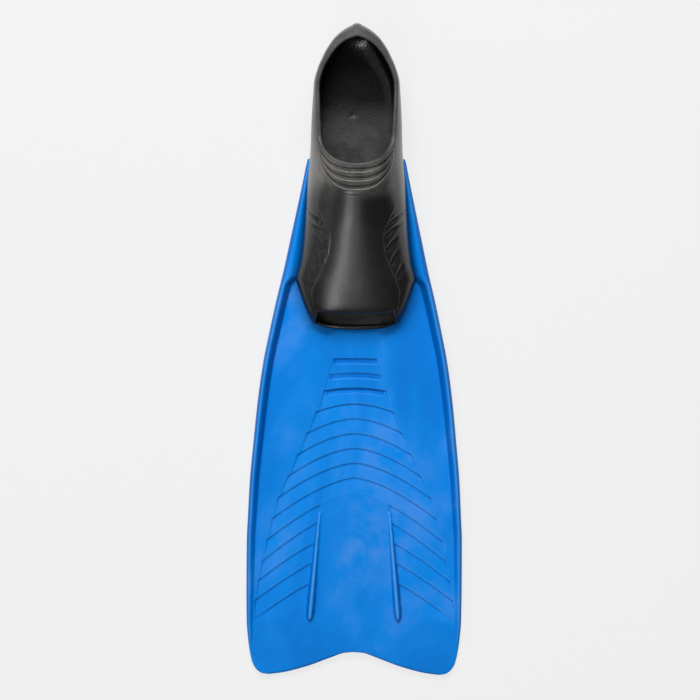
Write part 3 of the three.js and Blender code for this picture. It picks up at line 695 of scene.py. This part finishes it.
def blade():
    """The whole blue moulding: panel, rails, ribs, shingle steps and fishtail in one skin."""
    tip_run = 26 * MM
    turn = np.linspace(0, math.pi / 2, 42)
    scoops_from, scoops_to = toe_y - 22 * MM, first_step_y - 12 * MM
    rows = np.concatenate([
        np.arange(rail_start_y, scoops_from, -0.95 * MM), np.arange(scoops_from, scoops_to, -0.5 * MM),
        np.arange(scoops_to, tip_y + tip_run, -0.85 * MM), tip_y + tip_run * (1 - np.sin(turn)[1:]),
    ])[:, None]
    from_edge = np.concatenate([[0, 0.12, 0.4, 0.8], np.arange(1.3, 13.5, 0.55), [14.2]]) * MM
    inner = np.linspace(0, 1, 76)[:-1]
    width = blade_half(rows)
    edge_band = from_edge[-1] + 1 * MM
    right = np.concatenate([inner * (width - edge_band), width - from_edge[::-1]], 1)
    x = np.concatenate([-right[:, :0:-1], right], 1)
    tail_length = 62 * MM
    near_tail = smooth((tip_y + tail_length - rows) / tail_length) ** 1.4
    y = rows + fishtail(np.minimum(abs(x) / width, 1)) * near_tail
    edge = width - abs(x)
    panel_top = plate_top - panel_drop(y)
    panel_base = plate_base - panel_drop(y)

    behind_corner = smooth((rows - corner_y) / (10 * MM) + 0.5)
    beside_pocket = width - pocket_half(rows) + 3 * MM
    rail = mix(rail_width(rows) + 0.6 * MM, beside_pocket, behind_corner)
    rail_fade = smooth((rows - rail_end_y + 4 * MM) / (16 * MM))
    into = edge / rail  # 0 on the outline, 1 at the foot of the rail's inner wall
    outer_slope = 1 - 0.45 * np.maximum(1 - into / 0.34, 0) ** 2
    inner_wall = np.sin(np.clip((1.04 - into) / 0.72, 0, 1) * math.pi / 2) ** 1.25
    rise = rail_top(rows) - panel_top
    top = panel_top + rise * outer_slope * inner_wall * rail_fade
    wall = smooth((rail - edge) / (1.7 * MM) + 0.5)
    keel = mix(panel_base, rail_base(rows) + 0.8 * MM * (2 * into - 1) ** 2, rail_fade)
    base = mix(panel_base, keel, wall)

    notch = step_notch * (1 - np.mod(shingle_count(x, y), 1))
    recess_start = toe_y - 25 * MM
    inside_recess = smooth((recess_half(y) + notch - abs(x)) / (1.3 * MM))
    inside_recess = inside_recess * smooth((recess_start - y) / (3 * MM))
    rib = power_rib(x, y)
    beside_rib = 1 - smooth(rib / (0.8 * MM))
    top = top - shingles(x, y) * inside_recess * beside_rib - flex_scoops(x, y) + rib
    base = base - 0.35 * rib

    middle = (top + base) / 2
    rounding = 3.2 * MM * wall * rail_fade + 1.3 * MM * (1 - wall * rail_fade)
    tip_edge = rows - tip_y
    to_side = np.clip(1 - edge / rounding, 0, 1)
    to_tip = np.clip(1 - tip_edge / (1.5 * MM), 0, 1)
    thin = np.sqrt(np.maximum(1 - np.maximum(to_side, to_tip) ** 2.4, 0.0))
    upper = np.stack([x, y, middle + (top - middle) * thin + 0.02 * MM], -1)
    lower = np.stack([x, y, middle + (base - middle) * thin - 0.02 * MM], -1)
    piece = slab("blade", upper, lower, blade_blue)
    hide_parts("blade_panel", "root_panel", "left_blade_rail", "right_blade_rail", "left_root_rail",
                "right_root_rail", "left_power_rib", "right_power_rib")
    hinge_y + 52 * MM
    hinge_y - 52 * MM
    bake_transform(piece)
    return piece


# ---- The foot pocket ----

gill_pitch = 12.3 * MM
first_gill = 42.5 * MM  # from the toe lip to the foremost gill's inner end
gill_rake = 1.3  # how far a gill runs heelwards for each millimetre outwards
last_gill = 4.5  # counted in pitches
gill_ridge = 0.3  # millimetres that the wall swells between gills
gill_depth = 2.5  # millimetres


def across_heel(piece):
    """Bakes the piece's transform into its mesh."""
    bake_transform(piece)


def loop_section(outer, normal, thickness):
    """A closed section: outer points, then the same line thickness deeper, with rounded ends."""
    inner = outer - normal * thickness
    swell_first = outer[:, 0] - outer[:, 1]
    swell_first /= np.linalg.norm(swell_first, axis=-1, keepdims=True)
    swell_last = outer[:, -1] - outer[:, -2]
    swell_last /= np.linalg.norm(swell_last, axis=-1, keepdims=True)
    first = (outer[:, 0] + inner[:, 0]) / 2 + swell_first * thickness * 0.35
    last = (outer[:, -1] + inner[:, -1]) / 2 + swell_last * thickness * 0.1
    return np.concatenate([outer, last[:, None], inner[:, ::-1], first[:, None]], 1)


def gills(station, around):
    """Diagonal grooves on the side walls, deepest beside the instep panel."""
    x, y = abs(skin_point(station, around)[..., 0]), toe_y + station
    from_panel = x - instep_half(y)
    phase = (y - toe_y - first_gill - from_panel * gill_rake) / gill_pitch
    along = smooth((phase + 0.4) * 4) * smooth((last_gill - phase) * 2)
    across = smooth((from_panel - 0.4 * MM) / (1.6 * MM)) * smooth((13.5 * MM - from_panel) / (8 * MM))
    across = across * smooth((0.98 - abs(around)) / 0.28)
    groove = np.maximum(0, np.cos(2 * math.pi * phase)) ** 2
    return (gill_ridge * (1 - groove) - gill_depth * groove) * MM * along * across


def side_and_heel():
    """Side walls with their gills, running on round the heel as one skin."""
    front = np.linspace(0, 0.7 * side_length, 190)
    back = np.linspace(0.7 * side_length, heel_back, 110)[1:]
    stations = np.concatenate([front, back])
    y, turn, *_ = section_at(stations)
    beside_window = smooth((window_back_y + 6 * MM - y) / (6 * MM))
    inner_edge = mix(instep_half(y) - 1.5 * MM, window_half(y), beside_window)
    beside_panel = around_at(stations, inner_edge)
    under_lip = further_out(stations, rim_around(stations), 1.2 * MM)
    blend_in = smooth((y - (opening_mid_y - 16 * MM)) / (16 * MM))
    upper = mix(beside_panel, under_lip, blend_in)
    rests_on = mix(plate_top + 0.1 * MM, plate_base, smooth((y - rail_start_y + 4 * MM) / (6 * MM)))
    foot = dome_foot(y)
    lower = 1 + (foot - rests_on) / (foot - plate_base)
    shares = np.concatenate([np.linspace(0, 0.82, 34), np.linspace(0.82, 1, 10)[1:]])
    station_grid = np.repeat(stations[:, None], len(shares), 1)
    around = upper[:, None] + (lower - upper)[:, None] * shares
    half_outer = skin_point(station_grid, around)
    normal = skin_normal(station_grid, around)
    from_heel_line = (heel_back - station_grid) / MM
    seam = 0.8 * MM * np.exp(-((from_heel_line - 1.9) / 0.9) ** 2) * smooth((around - 0.3) / 0.1)
    half_outer = half_outer + normal * (gills(station_grid, around) + seam)[..., None]
    outer = np.concatenate([half_outer, half_outer[-2::-1] * other_side])
    straight_back = normal[-1:] * np.array([0, 1, 1])
    normals = np.concatenate([normal[:-1], straight_back, normal[-2::-1] * other_side])
    sections = loop_section(outer, normals, rubber_wall)
    piece = swept("side_and_heel", sections, black_rubber)
    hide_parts("left_side_wall", "right_side_wall", "left_ankle_wall", "right_ankle_wall",
                "heel_counter", "heel_cuff")
    across_heel(piece)
    return piece


def instep_panel():
    """The smooth hourglass over the toes and instep, a little proud of the sides."""
    ks = np.linspace(0, 1, 110)[:, None]
    ts = np.linspace(-1, 1, 73)[None, :]
    edge_x, edge_y = ripple_edge(ts * math.pi / 2)
    front_y = window_back_y - 2 * MM * (1 - ts**2)
    y = mix(front_y, edge_y + 1.5 * MM, ks)
    half = instep_half(y) + 0.4 * MM
    x = mix(half * ts, np.minimum(half, abs(edge_x)) * np.sign(ts), ks**6)
    station, around = skin_at(x, y)
    side = smooth((half - abs(x)) / (1.1 * MM))
    lip = np.exp(-(((half - abs(x)) - 1.4 * MM) / (0.9 * MM)) ** 2)
    crease = smooth((y - toe_y - 24 * MM) / (14 * MM)) * smooth((toe_y + 118 * MM - y) / (14 * MM))
    front = np.clip((y - front_y) / (2.2 * MM), 0, 1)
    height = (0.03 + 0.45 * crease + 0.35 * crease * lip) * MM
    proud = mix(-0.6 * MM, height, side) - 1.4 * MM * (1 - np.sqrt(1 - (1 - front) ** 2))
    outer = surface(station, around, proud)
    inner = surface(station, around, np.full(x.shape, -rubber_wall))
    piece = slab("instep_panel_skin", outer, inner, black_rubber)
    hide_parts("instep_panel")
    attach(piece, "foot_pocket")
    return piece


def throat_band():
    """Soft ripples that let the throat stretch: three deep grooves from the instep up to the lip."""
    ks = np.linspace(0, 1, 84)[:, None]
    turns = np.linspace(-1, 1, 161)[None, :] * math.pi / 2
    edge_x, edge_y = ripple_edge(turns)
    rim_x, rim_y = rim_front(turns)
    x = mix(edge_x, rim_x, ks)
    y = mix(edge_y, rim_y, ks)
    station, around = skin_at(x, y)
    place, closing = ripple_place(x, y)
    grooves = sum(np.exp(-((place - middle) * ripple_span / ripple_groove_half) ** 2)
                  for middle in ripple_grooves)
    fade = smooth(closing / 0.3)
    at_sides = smooth((abs(x) - 18 * MM) / (7 * MM))
    lift = mix(0.15, 1.0, np.maximum(smooth((1.4 - place) / 0.5), 0.6 * at_sides))
    proud = mix(-0.4 * MM, (lift - ripple_depth * grooves * fade) * MM, smooth(ks / 0.05))
    outer = surface(station, around, proud)
    inner = surface(station, around, np.full(x.shape, -rubber_wall))
    piece = slab("throat_ripple_band", outer, inner, black_rubber)
    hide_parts("throat_ripples")
    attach(piece, "foot_pocket")
    return piece


def squared(wave):
    """A sine or cosine wave with fuller shoulders, laid along a section."""
    return (np.sign(wave) * abs(wave) ** 0.8)[None, :, None]


def collar():
    """The rounded lip all the way round the foot opening, broadest at the back of the heel."""
    turns = np.linspace(0, math.pi / 2, 60)
    front_x, front_y = rim_front(turns)
    sides = np.linspace(opening_mid_y - toe_y, side_length, 26)[1:]
    heel = np.linspace(side_length, heel_back, 70)[1:]
    front_stations, front_around = skin_at(front_x, front_y)
    behind_front = np.concatenate([sides, heel])
    stations = np.concatenate([front_stations, behind_front])
    rim = np.concatenate([front_around, rim_around(behind_front)])
    rim_point = skin_point(stations, rim)
    up = skin_normal(stations, rim)
    along = np.gradient(rim_point, axis=0)
    along[0] = (1, 0, 0)
    along[-1] = (-1, 0, 0)
    outwards = np.cross(along, up)
    outwards /= np.linalg.norm(outwards, axis=-1, keepdims=True)
    away = rim_point - np.array([0, (throat_y + heel_y) / 2, 0])
    away[:, 2] = 0
    outwards *= np.where(np.sum(outwards * away, -1, keepdims=True) < 0, -1, 1)
    back = np.clip((stations - side_length) / heel_arc, 0, 1)
    width = mix(4.0, 9.5, smooth(back * 1.1)) * MM
    depth = mix(3.4, 4.2, smooth(back)) * MM
    centre = rim_point + outwards * (width * 0.42)[:, None] - up * 0.6 * MM
    angles = np.linspace(0, 2 * math.pi, 25)[:-1]
    over = squared(np.cos(angles)) * outwards[:, None] * (width / 2)[:, None, None]
    upwards = squared(np.sin(angles)) * up[:, None] * (depth / 2)[:, None, None]
    half = centre[:, None] + (over + upwards)
    nib = 1.1 * MM * np.exp(-(((heel_back - stations) / MM - 1.6) / 1.0) ** 2)
    half[:, :, 1] += nib[:, None] * np.maximum(np.cos(angles), 0)[None]
    sections = np.concatenate([half, half[-2:0:-1] * other_side])
    piece = swept("collar", sections, lip_rubber, ring=True)
    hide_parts("throat_collar", "heel_collar")
    across_heel(piece)
    return piece


def toe_lip():
    """The rounded lower lip of the toe window."""
    t = np.linspace(-1, 1, 90)
    angles = np.linspace(0, 2 * math.pi, 21)[:-1]
    half_width = 0.71 * half_pocket
    x = half_width * t
    y = toe_y + 1.7 * MM + 3.6 * MM * t**2 + 3 * MM * t**8
    z = plate_top + 1.9 * MM + 0.8 * MM * (1 - t**2)
    fat = mix(0.9, 2.3, 1 - abs(t) ** 6) * MM
    centre = np.stack([x, y, z], -1)[:, None]
    ring = np.stack([0 * angles, 0.95 * np.cos(angles), 1.1 * np.sin(angles)], -1)
    piece = swept("toe_window_lip", centre + ring[None] * fat[:, None, None], black_rubber)
    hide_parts("toe_lip")
    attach(piece, "foot_pocket")
    return piece


def inner_half(clearance):
    """Half the width inside the pocket, at a clearance from its skin."""
    turn = np.linspace(0, 1, 40)
    reach = mix(pocket_half(heel_centre_y), heel_reach, heel_share(turn)) - clearance
    round_part = through(list(zip(heel_centre_y + reach * np.sin(turn * math.pi / 2),
                                  reach * np.cos(turn * math.pi / 2))))
    return lambda y: np.where(y <= heel_centre_y, pocket_half(y) - clearance, round_part(y))


def footbed():
    """The dished bed under the foot, curling up into the walls and the heel cup."""
    half = inner_half(rubber_wall + 1.4 * MM)
    back = heel_y - rubber_wall - 5 * MM
    ys = np.concatenate([np.linspace(toe_y + 2.4 * MM, heel_centre_y + 10 * MM, 130),
                         mix(heel_centre_y + 10 * MM, back, np.sin(np.linspace(0, math.pi / 2, 46)[1:]))])
    ts = np.sin(np.linspace(-math.pi / 2, math.pi / 2, 61))
    y = np.repeat(ys[:, None], len(ts), 1)
    x = half(y) * ts
    to_side = np.maximum(half(y) - abs(x), 0.01 * MM)
    to_back = np.maximum(back - y, 0.01 * MM)
    to_wall = (to_side**-3 + to_back**-3) ** (-1 / 3)
    side_cup, heel_cup = 11 * MM, 20 * MM
    cup = mix(side_cup, heel_cup, smooth((y - heel_centre_y + 10 * MM) / (40 * MM)))
    curl = np.clip(1 - to_wall / cup, 0, 1)
    rise = 0.72 * cup * (1 - np.sqrt(np.maximum(1 - curl**2, 0)))
    from_dimple = (x + 3 * MM) ** 2 + (y - heel_centre_y + 26 * MM) ** 2
    dimple = 1.2 * MM * np.exp(-(from_dimple / (2.2 * MM) ** 2))
    top = np.stack([x, y, footbed_top + rise - dimple - 0.4 * MM * np.cos(x / half(y) * math.pi / 2)], -1)
    base = np.stack([x * 0.97, y, np.full(x.shape, footbed_base)], -1)
    piece = slab("footbed_dish", top, base, footbed_finish)
    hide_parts("footbed")
    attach(piece, "foot_pocket")
    return piece


def outsole():
    """The rubber sole: cross treads in two pads with a higher arch between them."""
    half = inner_half(5.2 * MM)
    front_y, back_y = toe_y + 22 * MM, heel_y - 12 * MM
    ys = np.linspace(front_y, back_y, 360)
    ts = np.sin(np.linspace(-math.pi / 2, math.pi / 2, 61))
    y = np.repeat(ys[:, None], len(ts), 1)
    toe_round = np.sqrt(np.clip(1 - np.clip(1 - (y - front_y) / (9 * MM), 0, 1) ** 2 * 0.5, 0, 1))
    x = half(y) * ts * toe_round
    edge = np.minimum.reduce([half(y) * toe_round - abs(x), y - front_y, back_y - y])
    arch_front, arch_back = toe_y + 132 * MM, heel_centre_y - 38 * MM
    arch = smooth((y - arch_front) / (4 * MM)) * smooth((arch_back - y) / (4 * MM))
    chevron = y + 5 * MM * np.cos(x / half(y) * 2.2)
    tread_pitch = 9 * MM
    tread = smooth((np.cos(2 * math.pi * chevron / tread_pitch) - 0.45) / 0.3)
    tread = tread * smooth((edge - 4 * MM) / (1.5 * MM))
    fillet = 1.4 * MM * (1 - np.sqrt(1 - np.clip(1 - edge / (2 * MM), 0, 1) ** 2))
    lift = np.maximum(1.4 * MM * arch, 1.5 * MM * tread * (1 - arch)) + fillet
    base = np.stack([x, y, lift], -1)
    top = np.stack([x, y, np.full(x.shape, outsole_top)], -1)
    piece = slab("treaded_outsole", top, base, sole_finish)
    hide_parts("forefoot_outsole", "arch_outsole", "heel_outsole")
    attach(piece, "foot_pocket")
    return piece


blade()
side_and_heel()
instep_panel()
throat_band()
collar()
toe_lip()
footbed()
outsole()
frame["nodes"]["sole_tongue"].data.materials.clear()
frame["nodes"]["sole_tongue"].data.materials.append(blade_blue)


# ---- Studio ----


def floor():
    """Pale paper that glows a little, so that it stays even under the fin's edges."""
    finish = Finish("studio_paper", Emission_Strength=0.765, Roughness=0.9)
    tooth = finish.noise(400, 2, 0.5)
    finish.set("Base Color", finish.blend((0.095, 0.095, 0.095), (0.105, 0.105, 0.105), tooth))
    finish.set("Emission Color", finish.blend((0.995, 0.995, 0.995), (1, 1, 1), tooth))
    size = 40.0  # metres across
    corners = np.array([[-size, -size, 0], [size, -size, 0], [size, size, 0], [-size, size, 0]]) / 2
    paper = new_mesh("studio_floor", corners, [[0, 1, 2, 3]], finish.material)
    paper.location.z = cad_low.z - 0.3 * MM


def soft_light(name, place, width, length, power):
    """A rectangular soft box that faces the fin."""
    light = bpy.data.lights.new(name, "AREA")
    light.shape = "RECTANGLE"
    light.size, light.size_y = width, length
    light.energy = power
    lamp = bpy.data.objects.new(name, light)
    lamp.location = place
    lamp.rotation_euler = (-Vector(place)).to_track_quat("-Z", "Y").to_euler()
    bpy.context.collection.objects.link(lamp)


def studio():
    """A dark room: a bank of light behind the heel, weaker ones on the left and beyond the tip."""
    world = bpy.data.worlds.new("studio")
    world.use_nodes = True
    world.node_tree.nodes["Background"].inputs["Color"].default_value = (1, 1, 1, 1)
    world.node_tree.nodes["Background"].inputs["Strength"].default_value = 0.05
    bpy.context.scene.world = world
    soft_light("heel_bank", (-0.1, 1.5, 1.6), 1.7, 0.9, 50)
    soft_light("left_bank", (-1.25, 0.1, 1.75), 2.3, 2.0, 5)
    soft_light("toe_strip", (-0.42, -1.25, 1.75), 0.18, 1.1, 11)
    soft_light("left_fill", (-2.0, -0.1, 0.95), 2.0, 1.4, 4)
    view = bpy.context.scene.view_settings
    view.view_transform = "Standard"
    view.look = "None"


def camera():
    """Straight down on the fin, heel at the top, a little off centre and turned by a hair."""
    shown = 622.7 * MM  # width of the view at the fin's middle height
    distance = 5.0
    fin_middle = 20 * MM
    turned = math.radians(0.32)
    data = bpy.data.cameras.new("camera")
    data.lens = data.sensor_width * (distance - fin_middle) / shown
    data.clip_end = 100
    eye = bpy.data.objects.new("camera", data)
    eye.location = (-4.8 * MM, -0.4 * MM, distance)
    eye.rotation_euler = (0, 0, turned)
    bpy.context.collection.objects.link(eye)
    bpy.context.scene.camera = eye


floor()
studio()
camera()
